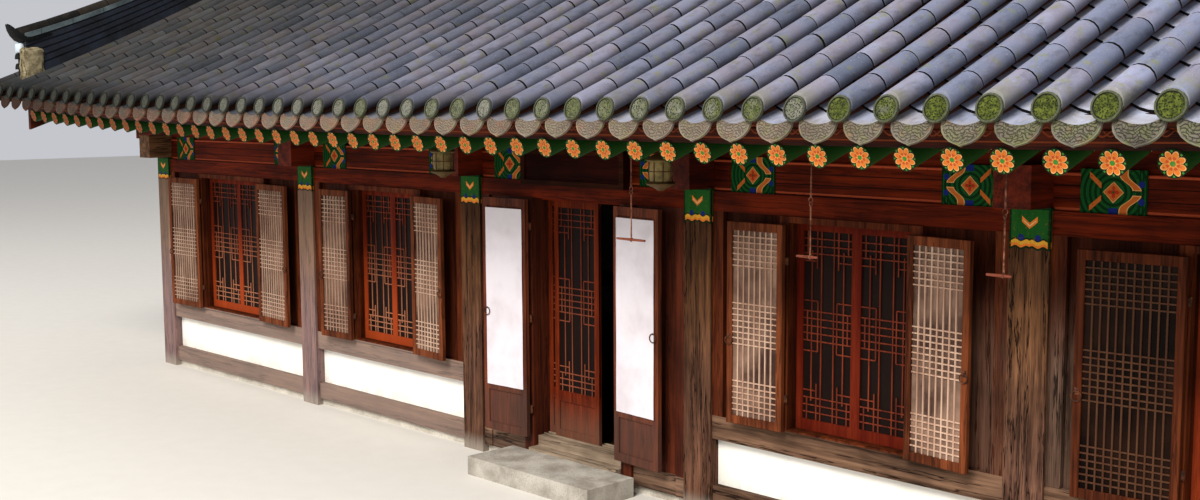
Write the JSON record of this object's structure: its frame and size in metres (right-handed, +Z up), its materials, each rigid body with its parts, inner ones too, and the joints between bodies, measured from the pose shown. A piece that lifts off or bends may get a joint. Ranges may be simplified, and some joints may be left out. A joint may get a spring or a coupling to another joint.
{
  "type": "hanok house",
  "caption": "Long single-storey timber house with a tiled gable roof, papered lattice windows, white plaster below them and a double doorway.",
  "frame": {"origin": "middle of the house at ground level", "axes": "+X along the house to the right as seen from the front, -Y towards the front, +Z up"},
  "size_m": [15.4, 7.7, 5.2105],
  "materials": {
    "dark_wood": "worn red-brown painted timber",
    "grey_wood": "weathered bare timber",
    "red_wood": "worn red-brown stained timber",
    "plaster": "matt lime plaster between timbers",
    "stone": "rough dressed stone",
    "roof_tile": "matt fired clay",
    "shutter": "lattice backed with paper",
    "iron": "rusty forged iron",
    "board": "black painted board",
    "lantern": "dull brass"
  },
  "bodies": {
    "house": {"footing": "stone", "floor": "grey_wood", "door_step": "stone", "front_post_1": "grey_wood", "front_post_2": "grey_wood", "front_post_3": "grey_wood", "front_post_4": "grey_wood", "front_post_5": "grey_wood", "front_post_6": "grey_wood", "cross_beam_2": "dark_wood", "cross_beam_3": "dark_wood", "cross_beam_4": "dark_wood", "cross_beam_5": "dark_wood", "front_wall_plate": "dark_wood", "rear_wall_plate": "dark_wood", "front_mid_purlin": "dark_wood", "rear_mid_purlin": "dark_wood", "ridge_purlin": "dark_wood", "left_gable": "plaster", "right_gable": "plaster", "left_wall": "plaster", "right_wall": "plaster", "rear_wall": "plaster", "window_bay_1": "red_wood", "shutter_1_left": "shutter", "shutter_1_right": "shutter", "window_bay_2": "red_wood", "shutter_2_left": "shutter", "shutter_2_right": "shutter", "window_bay_4": "red_wood", "shutter_4_left": "shutter", "shutter_4_right": "shutter", "window_bay_5": "red_wood", "shutter_5_left": "shutter", "shutter_5_right": "shutter", "door_side_left": "dark_wood", "door_side_right": "dark_wood", "threshold": "grey_wood", "name_board": "board", "lantern_left": "lantern", "lantern_right": "lantern", "lifting_hook_1": "iron", "lifting_hook_2": "iron", "lifting_hook_3": "iron", "front_rafters": "dark_wood", "rear_rafters": "dark_wood", "front_roof": "roof_tile", "rear_roof": "roof_tile", "left_verge": "roof_tile", "right_verge": "roof_tile", "main_ridge": "roof_tile", "left_verge_ridge": "roof_tile", "right_verge_ridge": "roof_tile", "left_bargeboard": "red_wood", "right_bargeboard": "red_wood"},
    "outer_leaf_left": {"outer_door_left": "red_wood"},
    "outer_leaf_right": {"outer_door_right": "red_wood"},
    "inner_leaf_front": {"inner_door_front": "red_wood"},
    "inner_leaf_rear": {"inner_door_rear": "red_wood"}
  },
  "joints": [
    {"name": "outer_left_swing", "type": "hinge", "parent": "house", "child": "outer_leaf_left", "pos_m": [-0.47, -2.532, 1.15], "axis": [0, 0, -1], "range_deg": [-176, 4]},
    {"name": "outer_right_swing", "type": "hinge", "parent": "house", "child": "outer_leaf_right", "pos_m": [0.47, -2.532, 1.15], "axis": [0, 0, 1], "range_deg": [-176, 4]},
    {"name": "inner_front_slide", "type": "slide", "parent": "house", "child": "inner_leaf_front", "axis": [1, 0, 0], "range_m": [-0.115, 0.34]},
    {"name": "inner_rear_slide", "type": "slide", "parent": "house", "child": "inner_leaf_rear", "axis": [1, 0, 0], "range_m": [0, 0.455]}
  ]
}
